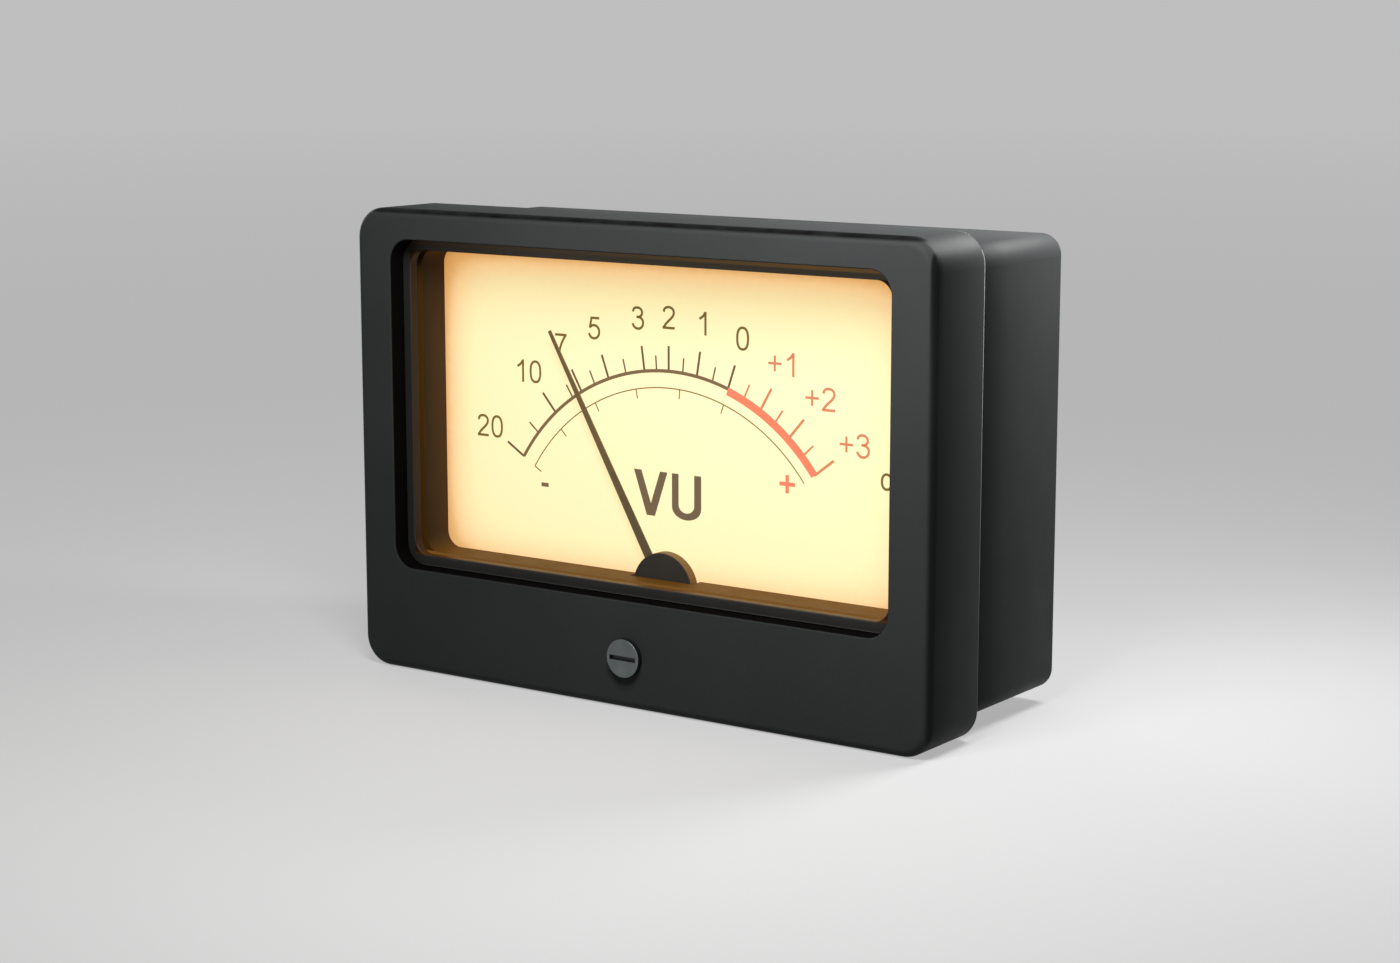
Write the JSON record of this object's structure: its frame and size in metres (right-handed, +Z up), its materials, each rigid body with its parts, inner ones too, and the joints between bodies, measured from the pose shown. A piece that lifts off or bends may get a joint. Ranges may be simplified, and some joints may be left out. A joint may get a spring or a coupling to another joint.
{
  "type": "analog vu meter",
  "caption": "Moving-coil audio level meter with a backlit dial, needle, zero adjuster and rear terminals in a rectangular two-shell panel case.",
  "frame": {"origin": "centre of the whole meter's box, at its lowest face: the bezel's bottom edge", "axes": "+X to the right as the dial is read, +Y from the dial to the terminals, +Z up"},
  "size_m": [0.11, 0.0558, 0.0767],
  "materials": {
    "case_black": "satin moulded plastic, near black",
    "frame_grey": "satin dark grey",
    "seal_rubber": "matte",
    "window_clear": "clear, polished",
    "shroud_brown": "matte, warm brown under the lamp light",
    "dial_cream": "translucent, backlit warm cream",
    "diffuser_white": "opal",
    "guide_clear": "clear acrylic, polished edges",
    "reflector_white": "matte white",
    "board_green": "solder-masked glass fibre",
    "lamp_warm": "phosphor lens",
    "chassis_aluminium": "brushed",
    "movement_brass": "turned",
    "jewel_red": "polished synthetic ruby",
    "soft_iron": "ground",
    "magnet_grey": "ground",
    "zinc_steel": "zinc plated",
    "diode_black": "moulded epoxy",
    "resistor_blue": "lacquered",
    "terminal_brass": "plated",
    "tinned_brass": "tinned",
    "wire_red": "insulation",
    "wire_blue": "insulation",
    "wire_yellow": "insulation",
    "pointer_dark": "matte dark brown-black lacquer",
    "hub_dark": "matte dark brown-black",
    "former_aluminium": "rolled",
    "copper_wire": "enamelled copper",
    "spring_bronze": "rolled phosphor bronze",
    "adjuster_nickel": "satin nickel",
    "lever_brass": "stamped"
  },
  "bodies": {
    "case": {"bezel": "case_black", "window_frame": "frame_grey", "window_seal": "seal_rubber", "window_glass": "window_clear", "light_shroud": "shroud_brown", "housing": "case_black", "case_screws": "zinc_steel", "dial_plate": "dial_cream", "light_diffuser": "diffuser_white", "light_guide": "guide_clear", "light_reflector": "reflector_white", "led_boards": "board_green", "lamp_leds": "lamp_warm", "chassis": "chassis_aluminium", "front_bridge": "movement_brass", "front_jewel": "jewel_red", "bridge_screws": "zinc_steel", "yoke_ring": "soft_iron", "core_magnet": "magnet_grey", "core_spacers": "movement_brass", "rear_bridge": "movement_brass", "movement_screws": "zinc_steel", "jewel_screw": "movement_brass", "jewel_nut": "movement_brass", "stop_pins": "zinc_steel", "lever_clip": "zinc_steel", "rectifier_board": "board_green", "rectifier_diodes": "diode_black", "series_resistors": "resistor_blue", "board_screws": "zinc_steel", "signal_terminals": "terminal_brass", "terminal_washers": "zinc_steel", "terminal_lugs": "tinned_brass", "terminal_nuts": "terminal_brass", "lamp_tags": "tinned_brass", "mounting_studs": "zinc_steel", "mounting_washers": "zinc_steel", "mounting_nuts": "zinc_steel", "signal_leads": "wire_red", "coil_leads": "wire_blue", "lamp_leads": "wire_yellow"},
    "pointer": {"pointer_needle": "pointer_dark", "pointer_hub": "hub_dark", "front_staff": "zinc_steel", "rear_staff": "zinc_steel", "coil_former": "former_aluminium", "coil_winding": "copper_wire", "front_hairspring": "spring_bronze", "rear_hairspring": "spring_bronze", "balance_cross": "former_aluminium", "balance_weights": "movement_brass"},
    "zero_adjuster": {"zero_adjuster": "adjuster_nickel", "adjuster_clip": "zinc_steel"},
    "zero_lever": {"zero_lever": "lever_brass"}
  },
  "joints": [
    {"name": "pointer_swing", "type": "hinge", "parent": "case", "child": "pointer", "pos_m": [0, -0.00187, 0.0177], "axis": [0, 1, 0], "range_deg": [-30.4, 84.6], "stiffness_Nm_per_rad": 0.00002},
    {"name": "zero_adjust", "type": "hinge", "parent": "case", "child": "zero_adjuster", "pos_m": [0, -0.02388, 0.00835], "axis": [0, 1, 0], "range_deg": [-45, 45]},
    {"name": "zero_lever_swing", "type": "hinge", "parent": "case", "child": "zero_lever", "pos_m": [0, -0.01208, 0.0177], "axis": [0, 1, 0], "range_deg": [-4.5, 4.5]}
  ],
  "couplings": [
    {"joint": "zero_lever_swing", "follows": "zero_adjust", "ratio": 0.096618}
  ]
}
